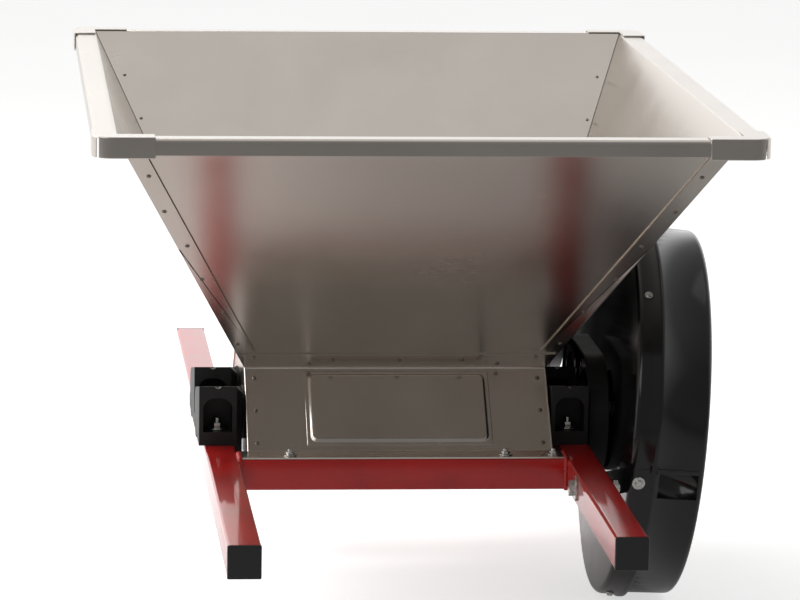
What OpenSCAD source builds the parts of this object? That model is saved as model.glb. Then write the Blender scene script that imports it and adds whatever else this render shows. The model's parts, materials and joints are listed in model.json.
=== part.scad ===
// Motor-driven fruit crusher: a sheet-metal hopper over two counter-turning ribbed rollers,
// on a welded square-tube frame whose two long runners lie across a vat.
// X runs left to right, -Y is the loading front, Z is up. Millimetres.
// The origin lies midway between the runners, under the gap of the rollers, on the runners' underside.

/* [Frame] */
// Side of the square tube
tube = 30; // [28:1:34]
// Wall of the square tube
tube_wall = 2; // [1.5:0.5:3]
// Length of each runner
runner_len = 1045; // [980:5:1120]
// Room between each side of the box and the runner beside it
runner_room = 11; // [10:1:14]
// How far each runner is welded off centre, the left one to the front and the right one to the rear
runner_stagger = 12; // [0:1:20]
// Thickness of the plastic end caps outside the tube
end_cap_t = 4; // [3:0.5:6]

/* [Hopper] */
// Width of the rim over its outer edges
rim_w = 600; // [580:5:640]
// Depth of the rim over its outer edges, front to back
rim_d = 850; // [800:5:900]
// Height of the rim above the fold where hopper and crusher box meet
hopper_rise = 269; // [240:1:300]
// Width of the level flange round the rim
rim_flange = 21; // [16:1:26]
// Height of the down-turned lip of the rim
rim_lip = 15; // [11:0.5:20]
// Thickness of the stainless sheet
sheet = 1.5; // [1:0.1:2]
// Radius inside a bend of the sheet
bend_r = 2; // [1:0.5:3]
// Width of the lap flanges that join the hopper's corners
corner_lap = 18; // [14:1:24]
// Length of each leg of a rim corner cap
cap_leg = 56; // [40:1:80]
// Outer corner radius of a rim corner cap
cap_r = 16; // [10:1:24]
// Height of a corner cap's skirt
cap_skirt = 17.5; // [16:0.5:22]
// Pitch of the rivets along the seams
rivet_pitch = 62; // [50:1:90]
// Diameter of a rivet head
rivet_d = 4.8; // [4:0.2:6]

/* [Crusher box] */
// Width of the box over its side sheets
box_w = 290; // [260:2:320]
// Height of the fold above the top of the frame
box_rise = 70; // [66:1:80]
// Depth of the throat at the fold, front to back
throat_d = 152; // [146:1:160]
// Distance between the facing sides of the two cross tubes that carry the box
cross_gap = 300; // [296:1:310]
// Length of the lap where the box's front and rear run up the outside of the hopper
box_lap = 28; // [20:1:34]
// Width of the pressed field in the front panel
field_w = 168; // [120:2:190]
// Height of the pressed field along the panel
field_h = 77; // [50:1:80]
// Depth of the pressed field
field_depth = 2; // [0.6:0.1:3]

/* [Rollers] */
// Distance between the two roller axes
roller_pitch = 100; // [98:1:110]
// Height of the roller axes above the top of the frame
axis_rise = 20; // [19:0.5:24]
// Diameter over the ribs of a roller
roller_d = 90; // [84:1:92]
// Height of the ribs on a roller
rib_h = 8; // [4:1:10]
// Number of ribs on a roller
rib_count = 8; // [6:1:10]
// Diameter of the roller shafts
shaft_d = 20; // [16:1:22]
// Running clearance between a shaft and its bush, on the radius
running_fit = 0.06; // [0.02:0.01:0.1]
// Teeth on each of the two equal gears
teeth = 25; // [23:1:27]
// Face width of the gears
gear_w = 14; // [10:1:15]

/* [Bearing housings] */
// Width of a housing's nose
nose_w = 36; // [34:1:38]
// Height of a housing
housing_h = 57.5; // [54:0.5:62]
// Distance from the shaft axis to the front of the nose
nose_reach = 65; // [62:1:66]
// Radius of a housing's round end about the shaft
housing_end_r = 24.5; // [22:0.5:26]
// Gap between the box and the left housings
left_housing_gap = 10; // [8:1:12]
// Gap between the box and the right housings
right_housing_gap = 3; // [2.5:0.5:4]
// Outside diameter of a bearing bush
bush_d = 26; // [24:1:28]
// Thread diameter of the housing studs
stud_d = 6; // [5:1:8]

/* [Belt drive] */
// Outside diameter of the large pulley
pulley_d = 320; // [280:5:330]
// Outside diameter of the motor pulley
motor_pulley_d = 55; // [50:1:66]
// Width of both pulleys
pulley_w = 20; // [18:1:22]
// Distance from the guard's inner face to the plane of the belt
belt_in = 30; // [28:1:34]
// Distance from the front roller axis back to the motor axis
motor_back = 305; // [300:1:312]
// Height of the motor axis above its feet
motor_height = 71; // [71:1:74]
// Diameter of the motor's body over its fins
motor_d = 124; // [116:1:128]

/* [Belt guard] */
// Room round the large pulley inside the guard
guard_room = 16.5; // [14:0.5:20]
// Height of the ridge where the guard's base meets its cover, above the cover's band
guard_ridge = 4.5; // [3:0.5:8]
// Draft of the cover's band, on the radius
guard_draft = 1.5; // [1:0.5:4]
// Width of the guard's base, up to the ridge
guard_inner_w = 25; // [22:1:30]
// Width of the guard's cover, beyond the ridge
guard_outer_w = 47; // [44:1:54]
// Radius of the rounded outer edge
guard_edge_r = 6; // [5:0.5:12]
// Distance from the right runner to the guard's inner face, at the height of the guard's centre
guard_gap = 25; // [24:1:30]
// Lean of the guard, its top away from the hopper, degrees
guard_lean = 4; // [3:0.1:4.5]
// Wall of the moulded guard
guard_wall = 3; // [2.5:0.5:4]
// Height of the guard's centre above the roller axis
guard_lift = 4; // [0:0.5:6]
// Depth of the joint between the guard's halves below its centre
guard_joint = 23; // [15:1:40]

/* [Hidden] */
$fn = 48;

// Fits between parts
touch_gap = 0.1;
soft_gap = 0.4;
eps = 0.01;
far = 2000;

// Levels and half sizes worked out from the driving dimensions
frame_z = tube;
fold_z = frame_z + box_rise;
rim_z = fold_z + hopper_rise;
axis_z = frame_z + axis_rise;
fold_y = throat_d / 2;
fold_x = box_w / 2;
rim_in_y = rim_d / 2 - rim_flange;
rim_in_x = rim_w / 2 - rim_flange;
cross_y = cross_gap / 2;
front_axis_y = -roller_pitch / 2;
rear_axis_y = roller_pitch / 2;
runner_x = fold_x + runner_room + tube / 2;
runner_in_x = runner_x - tube / 2;
runner_out_x = runner_x + tube / 2;
left_housing_x = fold_x + left_housing_gap + nose_w / 2;
right_housing_x = fold_x + right_housing_gap + nose_w / 2;
guard_x = runner_out_x + guard_gap;
belt_x = guard_x + belt_in;
slope_y = (rim_in_y - fold_y) / hopper_rise;
slope_x = (rim_in_x - fold_x) / hopper_rise;
unit_y = [rim_in_y - fold_y, hopper_rise] / norm([rim_in_y - fold_y, hopper_rise]);
unit_x = [rim_in_x - fold_x, hopper_rise] / norm([rim_in_x - fold_x, hopper_rise]);

// Sheets: a bent sheet is the outline between a path and the same path moved by its thickness.
// The path turns only to the right, and the thickness lies on its right.
function unit(v) = v / norm(v);
function right_of(d) = [d[1], -d[0]];
function flip(list) = [for (i = [len(list) - 1:-1:0]) list[i]];
function bend_arc(p, d1, d2, reach, rad) =
    let (n1 = right_of(d1), n2 = right_of(d2), c = p + reach * (n1 + n2) / (1 + n1 * n2),
         a1 = atan2(-n1[1], -n1[0]), sweep = acos(d1 * d2), steps = 6)
    [for (i = [0:steps]) c + rad * [cos(a1 - sweep * i / steps), sin(a1 - sweep * i / steps)]];
function bent_sheet(pts, t, r) =
    let (last = len(pts) - 1, d = [for (i = [0:last - 1]) unit(pts[i + 1] - pts[i])])
    concat([pts[0]],
        [for (i = [1:last - 1]) each bend_arc(pts[i], d[i - 1], d[i], r + t, r + t)],
        [pts[last], pts[last] + t * right_of(d[last - 1])],
        [for (i = [last - 1:-1:1]) each flip(bend_arc(pts[i], d[i - 1], d[i], r + t, r))],
        [pts[0] + t * right_of(d[0])]);

// Outlines drawn in the Y-Z plane and run along X, and drawn in the X-Z plane and run along Y
module along_x(w) {
    rotate([90, 0, 90]) linear_extrude(w, center = true) children();
}
module along_y(w) {
    rotate([90, 0, 0]) linear_extrude(w, center = true) children();
}
module rod_x(x0, x1, r) {
    translate([x0, 0, 0]) rotate([0, 90, 0]) cylinder(h = x1 - x0, r = r);
}
module ring_x(x0, x1, r_out, r_in) {
    difference() {
        rod_x(x0, x1, r_out);
        rod_x(x0 - 1, x1 + 1, r_in);
    }
}

// Faces of the hopper's sheets at a height z
function side_in(z) = fold_x + slope_x * (z - fold_z);
function side_out(z) = side_in(z) + sheet / unit_x[1];
function end_in(z) = fold_y + slope_y * (z - fold_z);
function end_strip_out(z) = end_in(z) + (2 * sheet + touch_gap) / unit_y[1];
top_cut = rim_z + 5;
low_cut = fold_z - 5;

// Frame: two runners and three cross tubes between them
guard_bolt_z = 16;
guard_bolt_y = [-247, 205];
guard_bolt_d = 8;
stud_back = 24.5;
stud_front_y = -48;

module tube_y(len) {
    difference() {
        translate([-tube / 2, -len / 2, 0]) cube([tube, len, tube]);
        translate([-tube / 2 + tube_wall, -len / 2 - 1, tube_wall])
            cube([tube - 2 * tube_wall, len + 2, tube - 2 * tube_wall]);
    }
}
module tube_x(len) {
    rotate([0, 0, 90]) tube_y(len);
}
module stud_holes(x) {
    for (axis = [front_axis_y, rear_axis_y], y = [stud_front_y, stud_back])
        translate([x, axis + y, tube - tube_wall - 1])
            cylinder(h = tube_wall + 2, d = stud_d + 2 * soft_gap);
}
module left_runner() {
    color("#8a1c18") difference() {
        translate([-runner_x, -runner_stagger, 0]) tube_y(runner_len);
        stud_holes(-left_housing_x);
    }
}
module right_runner() {
    color("#8a1c18") difference() {
        translate([runner_x, runner_stagger, 0]) tube_y(runner_len);
        stud_holes(right_housing_x);
        for (y = guard_bolt_y)
            translate([0, y, guard_bolt_z])
                rod_x(runner_in_x - 1, runner_out_x + 1, guard_bolt_d / 2 + soft_gap);
    }
}
flange_half = runner_in_x - 2;
flange_bolt_x = [-fold_x + 38, fold_x - 47, fold_x - 1];
flange_bolt_d = 5;
flange_bolt_y = cross_y + 19;
module cross_tube(y) {
    translate([0, y, 0]) tube_x(2 * runner_in_x - touch_gap);
}
module box_carrier(y, side) {
    color("#8a1c18") difference() {
        cross_tube(y);
        for (x = flange_bolt_x)
            translate([x, side * flange_bolt_y, tube - tube_wall - 1])
                cylinder(h = tube_wall + 2, d = flange_bolt_d + 2 * soft_gap);
    }
}
module front_cross_tube() { box_carrier(-cross_y - tube / 2, -1); }
module rear_cross_tube() { box_carrier(cross_y + tube / 2, 1); }

module end_plug(dir) {
    plug_in = 14;
    plug_w = tube - 2 * tube_wall - 2 * touch_gap;
    translate([-tube / 2, dir > 0 ? 0 : -end_cap_t, 0]) cube([tube, end_cap_t, tube]);
    translate([-plug_w / 2, dir > 0 ? -plug_in : -eps, tube / 2 - plug_w / 2])
        cube([plug_w, plug_in + eps, plug_w]);
}
module runner_end_caps() {
    color("#1c1c1c") for (side = [-1, 1], dir = [-1, 1])
        translate([side * runner_x, side * runner_stagger + dir * runner_len / 2, 0])
            end_plug(dir);
}

// Hopper: four sheets with rolled rim, lapped at the corners
function rim_path(p_fold, p_in, p_out) =
    [[p_fold, fold_z], [p_in, rim_z], [p_out, rim_z], [p_out, rim_z - rim_lip]];
lap_top_z = fold_z + box_lap * unit_y[1];
strip_top_z = rim_z - 8;

module between_sides() {
    gap = touch_gap;
    along_y(far) polygon([[-side_in(low_cut) + gap, low_cut], [side_in(low_cut) - gap, low_cut],
        [side_in(top_cut) - gap, top_cut], [-side_in(top_cut) + gap, top_cut]]);
}
module end_panel() {
    color("#b5ada4") intersection() {
        along_x(rim_w)
            polygon(bent_sheet(rim_path(fold_y, rim_in_y, rim_d / 2), sheet, bend_r));
        between_sides();
    }
}
module corner_strip() {
    band = [for (s = [[sheet + touch_gap, lap_top_z + 1], [2 * sheet + touch_gap, lap_top_z + 1],
                      [2 * sheet + touch_gap, strip_top_z], [sheet + touch_gap, strip_top_z]])
            [end_in(s[1]) + s[0] / unit_y[1], s[1]]];
    intersection() {
        along_x(rim_w) polygon(band);
        along_y(far) polygon([[side_out(low_cut) - corner_lap, low_cut], [side_out(low_cut), low_cut],
            [side_out(top_cut), top_cut], [side_out(top_cut) - corner_lap, top_cut]]);
    }
}
module side_panel() {
    color("#aaa39a") union() {
        intersection() {
            along_y(rim_d)
                polygon(bent_sheet(rim_path(fold_x, rim_in_x, rim_w / 2), sheet, bend_r));
            along_x(far) polygon([[-end_strip_out(low_cut), low_cut], [end_strip_out(low_cut), low_cut],
                [end_strip_out(top_cut), top_cut], [-end_strip_out(top_cut), top_cut]]);
        }
        corner_strip();
        mirror([0, 1, 0]) corner_strip();
    }
}
module hopper_rear_panel() { end_panel(); }
module hopper_front_panel() { mirror([0, 1, 0]) end_panel(); }
module hopper_right_panel() { side_panel(); }
module hopper_left_panel() { mirror([1, 0, 0]) side_panel(); }

// A corner cap hooks over the rim from above
module cap_outline(grow) {
    w = rim_w / 2 + grow;
    d = rim_d / 2 + grow;
    r = cap_r + grow;
    difference() {
        union() {
            translate([w - cap_leg, d - cap_leg]) square([cap_leg, cap_leg - r]);
            translate([w - cap_leg, d - cap_leg]) square([cap_leg - r, cap_leg]);
            translate([w - r, d - r]) circle(r = r);
        }
        translate([w - cap_leg - 1, d - cap_leg - 1])
            square([cap_leg + 1 - rim_flange - grow, cap_leg + 1 - rim_flange - grow]);
    }
}
module corner_cap() {
    cap_t = sheet;
    difference() {
        translate([0, 0, rim_z - cap_skirt])
            linear_extrude(cap_skirt + cap_t + touch_gap) cap_outline(cap_t + touch_gap);
        translate([0, 0, rim_z - cap_skirt - 1]) linear_extrude(cap_skirt + 1 + touch_gap) union() {
            cap_outline(touch_gap);
            translate([0, rim_d / 2 - cap_leg - 8]) square([rim_w / 2 + touch_gap, 10]);
            translate([rim_w / 2 - cap_leg - 8, 0]) square([10, rim_d / 2 + touch_gap]);
            translate([0, 0]) square([rim_w / 2 - 3, rim_d / 2 - 3]);
        }
    }
}
module rim_corner_caps() {
    color("#9d968c") for (mx = [0, 1], my = [0, 1])
        mirror([mx, 0, 0]) mirror([0, my, 0]) corner_cap();
}

// Rivets: low round heads that stand on a sheet
rivet_h = 0.9;
module rivet() {
    cylinder(h = rivet_h, d = rivet_d);
}
end_tilt = atan2(unit_y[0], unit_y[1]);
module on_rear_slope(x, z, lift) {
    translate([x, end_in(z), z]) rotate([-90 - end_tilt, 0, 0]) translate([0, 0, lift]) children();
}
module seam_rivets() {
    slope_len = norm([rim_in_y - fold_y, hopper_rise]);
    count = floor((slope_len - box_lap - 40) / rivet_pitch);
    for (i = [0:count]) {
        z = lap_top_z + 14 + i * rivet_pitch * unit_y[1];
        x = side_out(z) - corner_lap * (0.42 + 0.2 * (i % 2));
        on_rear_slope(x, z, 2 * sheet + touch_gap) rivet();
    }
}
module lap_rivets() {
    for (x = [-84, -62, 2, 63, 98])
        on_rear_slope(x, fold_z + box_lap * unit_y[1] * (abs(x) > 80 ? 0.36 : 0.62),
            2 * sheet + touch_gap) rivet();
}
module hopper_rivets() {
    color("#6f6a62") for (my = [0, 1]) mirror([0, my, 0]) {
        for (mx = [0, 1]) mirror([mx, 0, 0]) seam_rivets();
        lap_rivets();
    }
}

// Crusher box: front and rear lean over the rollers, two upright side sheets
box_foot = [cross_y, frame_z];
box_fold = [fold_y, fold_z] + (sheet + touch_gap) * right_of(unit_y);
lean = unit(box_fold - box_foot);
box_in = -right_of(lean);
box_path = [[cross_y + tube - 1, frame_z], box_foot, box_fold, box_fold + box_lap * unit_y];
lean_len = norm(box_fold - box_foot);
lean_tilt = atan2(-lean[0], lean[1]);
module on_rear_lean(x, s, lift) {
    at = box_foot + s * lean;
    translate([x, at[0], at[1]]) rotate([-90 + lean_tilt, 0, 0])
        translate([0, 0, sheet + lift]) children();
}
module box_sheet() {
    intersection() {
        along_x(box_w * 1.5) polygon(bent_sheet(box_path, sheet, bend_r));
        for (side = [0, 1]) mirror([side, 0, 0]) along_y(far)
            polygon([[-eps, 0], [flange_half, 0], [flange_half, frame_z + sheet + eps],
                [fold_x, frame_z + sheet + eps], [fold_x, fold_z - 1],
                [side_in(fold_z) - touch_gap, fold_z], [side_in(top_cut) - touch_gap, top_cut],
                [-eps, top_cut]]);
    }
}
// The front one has a field pressed outward, the same depth outside and inside
module box_end(field) {
    press_s = lean_len / 2 + 1;
    color("#8b857c") difference() {
        union() {
            box_sheet();
            if (field)
                on_rear_lean(0, press_s, -sheet / 2) translate([-field_w / 2, -field_h / 2, 0])
                    cube([field_w, field_h, sheet / 2 + field_depth]);
        }
        for (x = flange_bolt_x)
            translate([x, flange_bolt_y, frame_z - 1])
                cylinder(h = sheet + 2, d = flange_bolt_d + 2 * soft_gap);
        if (field)
            on_rear_lean(0, press_s, -sheet - 1)
                translate([-field_w / 2 + sheet, -field_h / 2 + sheet, 0])
                    cube([field_w - 2 * sheet, field_h - 2 * sheet, field_depth + 1]);
    }
}
module box_rear_panel() { box_end(false); }
module box_front_panel() {
    mirror([0, 1, 0]) box_end(true);
}

seal_r = 26;
box_hole_r = shaft_d / 2 + 4;
module box_side(side) {
    foot = box_foot + touch_gap * box_in;
    top = box_fold + touch_gap * box_in;
    skirt_y = cross_y - touch_gap;
    skirt_z = 3;
    lip_w = 14;
    lip_set = 0.1;
    lip_x = fold_x - (lip_w + sheet / 2) / 2;
    lip_ends = [foot + 6 * lean + lip_set * box_in, foot + (lean_len - 10) * lean + lip_set * box_in];
    color("#7d776f") difference() {
        union() {
            translate([side * (fold_x - sheet / 2), 0, 0]) along_x(sheet)
                polygon([[-skirt_y, skirt_z], [skirt_y, skirt_z], [skirt_y, foot[1]], foot, top,
                    [-top[0], top[1]], [-foot[0], foot[1]], [-skirt_y, foot[1]]]);
            for (my = [0, 1]) mirror([0, my, 0])
                translate([side * lip_x, 0, 0]) along_x(lip_w - sheet / 2)
                    polygon([lip_ends[0], lip_ends[1], lip_ends[1] + sheet * box_in,
                        lip_ends[0] + sheet * box_in]);
        }
        for (y = [front_axis_y, rear_axis_y])
            translate([0, y, axis_z]) rod_x(-fold_x - 1, fold_x + 1, box_hole_r);
    }
}
module box_left_side() { box_side(-1); }
module box_right_side() { box_side(1); }

module box_rivets() {
    edge = 8;
    color("#6f6a62") for (my = [0, 1]) mirror([0, my, 0])
        for (x = [-fold_x + edge, fold_x - edge], s = [0.1, 0.48, 0.86])
            on_rear_lean(x, s * lean_len, 0) rivet();
}

// Hex nut on a washer, and the bolt end above it
module washer(d_out, d_in, t) {
    difference() {
        cylinder(h = t, d = d_out);
        translate([0, 0, -1]) cylinder(h = t + 2, d = d_in);
    }
}
module hex(af, h) {
    cylinder(h = h, d = af / cos(30), $fn = 6);
}
module flange_bolt() {
    below = 14;
    translate([0, 0, -below]) cylinder(h = below + 7, d = flange_bolt_d);
    translate([0, 0, eps]) cylinder(h = 1.2, d = 12);
    translate([0, 0, 1.1]) hex(8, 4.2);
}
module box_bolts() {
    color("#b9b9b4") for (side = [-1, 1], x = flange_bolt_x)
        translate([x, side * flange_bolt_y, frame_z + sheet]) flange_bolt();
}

seal_t = 2;
module shaft_seals() {
    color("#1c1c1c") for (side = [-1, 1], y = [front_axis_y, rear_axis_y])
        translate([0, y, axis_z])
            ring_x(side > 0 ? fold_x : -fold_x - seal_t, side > 0 ? fold_x + seal_t : -fold_x,
                seal_r, shaft_d / 2 + soft_gap);
}

// Bearing housings, drawn about the shaft axis with the outboard side at +X.
// The top falls from the front to a round end about the shaft, which hangs a little beside the runner.
// A skirt fills the room between the runner and the box.
housing_tail = 33;
body_front = 25;
pocket_w = 28;
pocket_top = 46;
pocket_floor = 13;
pocket_deep = 27;
module arch(w, top, floor) {
    r = w / 2 - 3;
    translate([-w / 2, floor]) square([w, top - floor - r]);
    for (x = [-w / 2 + r, w / 2 - r]) translate([x, top - r]) circle(r = r);
    translate([-w / 2 + r, floor]) square([w - 2 * r, top - floor]);
}
module housing_side_view() {
    rise = housing_h - axis_rise;
    fall = atan2(rise, nose_reach) - asin(housing_end_r / norm([nose_reach, rise]));
    along_x(4 * nose_w) polygon([[-nose_reach, 0], [-nose_reach, housing_h],
        [housing_end_r * sin(fall), axis_rise + housing_end_r * cos(fall)], [0, axis_rise],
        [housing_tail, pocket_floor], [housing_tail, 0]]);
    translate([0, 0, axis_rise]) rod_x(-2 * nose_w, 2 * nose_w, housing_end_r);
}
module housing(x, y, side, blind) {
    rear_pocket = 18;
    end_wall = 2.5;
    half = nose_w / 2;
    body_in = abs(x) - fold_x - seal_t - soft_gap;
    skirt = 22;
    runner_side = abs(x) - runner_in_x + 3 * touch_gap;
    translate([x, y, frame_z]) mirror([side < 0 ? 1 : 0, 0, 0]) difference() {
        union() {
            intersection() {
                housing_side_view();
                translate([-half, -nose_reach, -tube])
                    cube([nose_w, nose_reach + housing_tail, 2 * housing_h]);
            }
            intersection() {
                housing_side_view();
                translate([0, (housing_tail - body_front) / 2, 0]) along_y(housing_tail + body_front)
                    polygon([[-body_in, 0], [0, 0], [0, housing_h], [2 - half, housing_h - 5],
                        [-body_in, housing_h - 14]]);
            }
            translate([touch_gap - body_in, 1 - body_front, -skirt])
                cube([body_in - touch_gap - runner_side, 2 * (body_front - 1), skirt + 5]);
        }
        translate([-runner_side, -far / 2, -far]) cube([tube + 6 * touch_gap, far, far]);
        translate([0, -nose_reach + pocket_deep / 2 - 0.5, 0]) along_y(pocket_deep + 1)
            arch(pocket_w, pocket_top, pocket_floor);
        translate([0, housing_tail - rear_pocket / 2 + 0.5, 0]) along_y(rear_pocket + 1)
            arch(pocket_w - 4, pocket_top + 8, pocket_floor);
        translate([0, -nose_reach - 1, housing_h + 1]) rotate([-90, 0, 0]) cylinder(h = 11, r = 3.4);
        translate([0, 0, axis_rise])
            rod_x(-nose_w, blind ? half - end_wall : nose_w, bush_d / 2);
        for (s = [stud_front_y, stud_back])
            translate([0, s, -1]) cylinder(h = pocket_floor + 2, d = stud_d + 2 * soft_gap);
    }
}
module left_front_housing() { color("#242424") housing(-left_housing_x, front_axis_y, -1, true); }
module left_rear_housing() { color("#242424") housing(-left_housing_x, rear_axis_y, -1, true); }
module right_front_housing() { color("#242424") housing(right_housing_x, front_axis_y, 1, false); }
module right_rear_housing() { color("#242424") housing(right_housing_x, rear_axis_y, 1, false); }

bush_w = nose_w - 6;
module bearing_bushes() {
    color("#b08d57") for (x = [-left_housing_x, right_housing_x], y = [front_axis_y, rear_axis_y])
        translate([x, y, axis_z])
            ring_x(-bush_w / 2, bush_w / 2, bush_d / 2, shaft_d / 2 + running_fit);
}

module housing_stud() {
    below = 22;
    grip = 1.6;
    translate([0, 0, -below]) cylinder(h = below + 8, d = stud_d);
    translate([0, 0, eps]) cylinder(h = grip, d = 17);
    translate([0, 0, grip]) hex(10, 6);
    translate([0, 0, grip + 5.5]) rotate_extrude() intersection() {
        circle(r = 4.6);
        square(10);
    }
}
module housing_studs() {
    color("#c4c4c0") for (x = [-left_housing_x, right_housing_x],
            axis = [front_axis_y, rear_axis_y], y = [stud_front_y, stud_back])
        translate([x, axis + y, frame_z + pocket_floor]) housing_stud();
}

// Rollers: straight ribs on a core, each on its own shaft
roller_half = box_w / 2 - sheet - 4;
module roller(y, turn) {
    core = roller_d / 2 - rib_h;
    rib_root = 9;
    color("#c9c7c2") translate([0, y, axis_z]) rotate([turn, 0, 0]) difference() {
        union() {
            rod_x(-roller_half, roller_half, core);
            for (i = [0:rib_count - 1]) rotate([i * 360 / rib_count, 0, 0])
                along_x(2 * roller_half) polygon([[core - 3, -rib_root], [core - 3, rib_root],
                    [roller_d / 2 - 1.5, rib_root / 2], [roller_d / 2, rib_root / 4],
                    [roller_d / 2, -rib_root / 4], [roller_d / 2 - 1.5, -rib_root / 2]]);
        }
        rod_x(-roller_half - 1, roller_half + 1, shaft_d / 2);
    }
}
module front_roller() { roller(front_axis_y, 0); }
module rear_roller() { roller(rear_axis_y, 180 / rib_count); }

shaft_left_end = -left_housing_x - nose_w / 2 + 5;
gear_x = runner_out_x + 2;
module front_shaft() {
    color("#a8a8a6") translate([0, front_axis_y, axis_z])
        rod_x(shaft_left_end, belt_x + pulley_w / 2 + 8, shaft_d / 2);
}
module rear_shaft() {
    color("#a8a8a6") translate([0, rear_axis_y, axis_z])
        rod_x(shaft_left_end, gear_x + gear_w + 1, shaft_d / 2);
}

// Two equal spur gears make the rollers turn against each other
pitch_r = roller_pitch / 2;
module_mm = roller_pitch / teeth;
pressure = 20;
backlash = 0.45;
base_r = pitch_r * cos(pressure);
function inv(a) = tan(a) * 180 / PI - a;
function tooth_half(r) =
    90 / teeth - backlash + inv(pressure) - (r > base_r ? inv(acos(base_r / r)) : 0);
module gear_outline() {
    root = pitch_r - 1.2 * module_mm;
    tip = pitch_r + 0.75 * module_mm;
    radii = [root, base_r, pitch_r - 0.4 * module_mm, pitch_r + 0.15 * module_mm, tip];
    polygon([for (i = [0:teeth - 1]) each concat(
        [for (r = radii) r * [cos(i * 360 / teeth - tooth_half(r)), sin(i * 360 / teeth - tooth_half(r))]],
        [for (k = [len(radii) - 1:-1:0]) radii[k] * [cos(i * 360 / teeth + tooth_half(radii[k])),
            sin(i * 360 / teeth + tooth_half(radii[k]))]])]);
}
module gear(y) {
    web = 4;
    color("#2e2e2e") translate([gear_x + gear_w / 2, y, axis_z]) difference() {
        along_x(gear_w) difference() {
            gear_outline();
            circle(d = shaft_d);
        }
        for (m = [0, 1]) mirror([m, 0, 0]) ring_x(web / 2, gear_w, pitch_r - 2.4 * module_mm, 18);
    }
}
module front_gear() { gear(front_axis_y); }
module rear_gear() { gear(rear_axis_y); }

// Cover over both gears, with a hole for the shaft that goes on to the pulley
cover_wall = 2.4;
module gear_cover() {
    room = 2;
    cover_in = pitch_r + 0.75 * module_mm + room;
    x0 = runner_out_x + touch_gap;
    x1 = gear_x + gear_w + 1 + soft_gap;
    color("#202022") difference() {
        translate([0, 0, axis_z]) obround_x(x0, x1 + cover_wall, cover_in + cover_wall);
        translate([0, 0, axis_z]) obround_x(x0 - 1, x1, cover_in);
        translate([0, front_axis_y, axis_z]) rod_x(x1 - 1, x1 + cover_wall + 1, shaft_d / 2 + 2);
    }
}
module obround_x(x0, x1, r) {
    for (y = [front_axis_y, rear_axis_y]) translate([0, y, 0]) rod_x(x0, x1, r);
    translate([x0, front_axis_y, -r]) cube([x1 - x0, roller_pitch, 2 * r]);
}

// Belt drive: the large pulley sits on the front roller's shaft
motor_y = front_axis_y + motor_back;
plate_t = 4;
motor_z = frame_z + plate_t + motor_height;
motor_rise = motor_z - axis_z;
centre_dist = norm([motor_back, motor_rise]);
belt_h = 8;
belt_w = 10;
groove_w = belt_w + 2 * soft_gap + 2.4;
groove_floor = belt_w + 2 * soft_gap;
groove_deep = belt_h + 1 + soft_gap;
module pulley_rim(d, inner) {
    rotate([0, 90, 0]) rotate_extrude($fn = 96) polygon([[inner, -pulley_w / 2], [d / 2, -pulley_w / 2],
        [d / 2, -groove_w / 2], [d / 2 - groove_deep, -groove_floor / 2],
        [d / 2 - groove_deep, groove_floor / 2], [d / 2, groove_w / 2], [d / 2, pulley_w / 2],
        [inner, pulley_w / 2]]);
}
spoke_count = 6;
module large_pulley() {
    rim_in = pulley_d / 2 - groove_deep - 6;
    hub_r = 24;
    color("#4a4c4e") translate([belt_x, front_axis_y, axis_z]) {
        difference() {
            union() {
                pulley_rim(pulley_d, rim_in);
                rod_x(-pulley_w / 2 - 4, pulley_w / 2 + 4, hub_r);
                along_x(8) for (i = [0:spoke_count - 1]) rotate(i * 360 / spoke_count)
                    polygon([[hub_r - 3, -13], [rim_in + 2, -8], [rim_in + 2, 8], [hub_r - 3, 13]]);
            }
            rod_x(-pulley_w, pulley_w, shaft_d / 2);
        }
    }
}
motor_shaft_d = 14;
module motor_pulley() {
    color("#4a4c4e") translate([belt_x, motor_y, motor_z])
        pulley_rim(motor_pulley_d, motor_shaft_d / 2);
}
// The belt follows both pulleys at the floor of their grooves
function loop_pts(r1, r2) =
    let (tilt = atan2(motor_rise, motor_back), spread = acos((r1 - r2) / centre_dist), big = 64, small = 20)
    concat([for (i = [0:big]) let (a = tilt + spread + (360 - 2 * spread) * i / big)
            r1 * [cos(a), sin(a)]],
        [for (i = [0:small]) let (a = tilt - spread + 2 * spread * i / small)
            [motor_back, motor_rise] + r2 * [cos(a), sin(a)]]);
module drive_belt() {
    inner = soft_gap - groove_deep;
    facet_room = 0.15;
    r1 = pulley_d / 2 + inner + facet_room;
    r2 = motor_pulley_d / 2 + inner + facet_room;
    color("#1a1a1a") translate([belt_x, front_axis_y, axis_z]) along_x(belt_w) difference() {
        polygon(loop_pts(r1 + belt_h, r2 + belt_h));
        polygon(loop_pts(r1, r2));
    }
}

// Motor: finned body on a foot, fan and cover at its inner end
motor_face_x = guard_x - 5;
shield_w = 20;
body_len = 128;
fan_cover_len = 52;
body_x1 = motor_face_x - shield_w;
body_x0 = body_x1 - body_len;
fan_x0 = body_x0 - fan_cover_len;
motor_core_r = motor_d / 2 - 7;
fin_count = 32;
module at_motor() {
    translate([0, motor_y, motor_z]) children();
}
module motor_shaft() {
    color("#a8a8a6") at_motor() rod_x(fan_x0 + 14, belt_x + pulley_w / 2, motor_shaft_d / 2);
}
module motor_body() {
    color("#30353a") at_motor() difference() {
        translate([(body_x0 + body_x1) / 2, 0, 0]) along_x(body_len) union() {
            circle(r = motor_core_r, $fn = 96);
            intersection() {
                circle(d = motor_d, $fn = 96);
                for (i = [0:fin_count / 2 - 1]) rotate((i + 0.5) * 360 / fin_count)
                    translate([-motor_d / 2, -1]) square([motor_d, 2]);
            }
        }
        rod_x(body_x0 + 8, body_x1 - 8, 30);
        rod_x(body_x0 - 1, body_x1 + 1, motor_shaft_d / 2 + soft_gap);
    }
}
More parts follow.
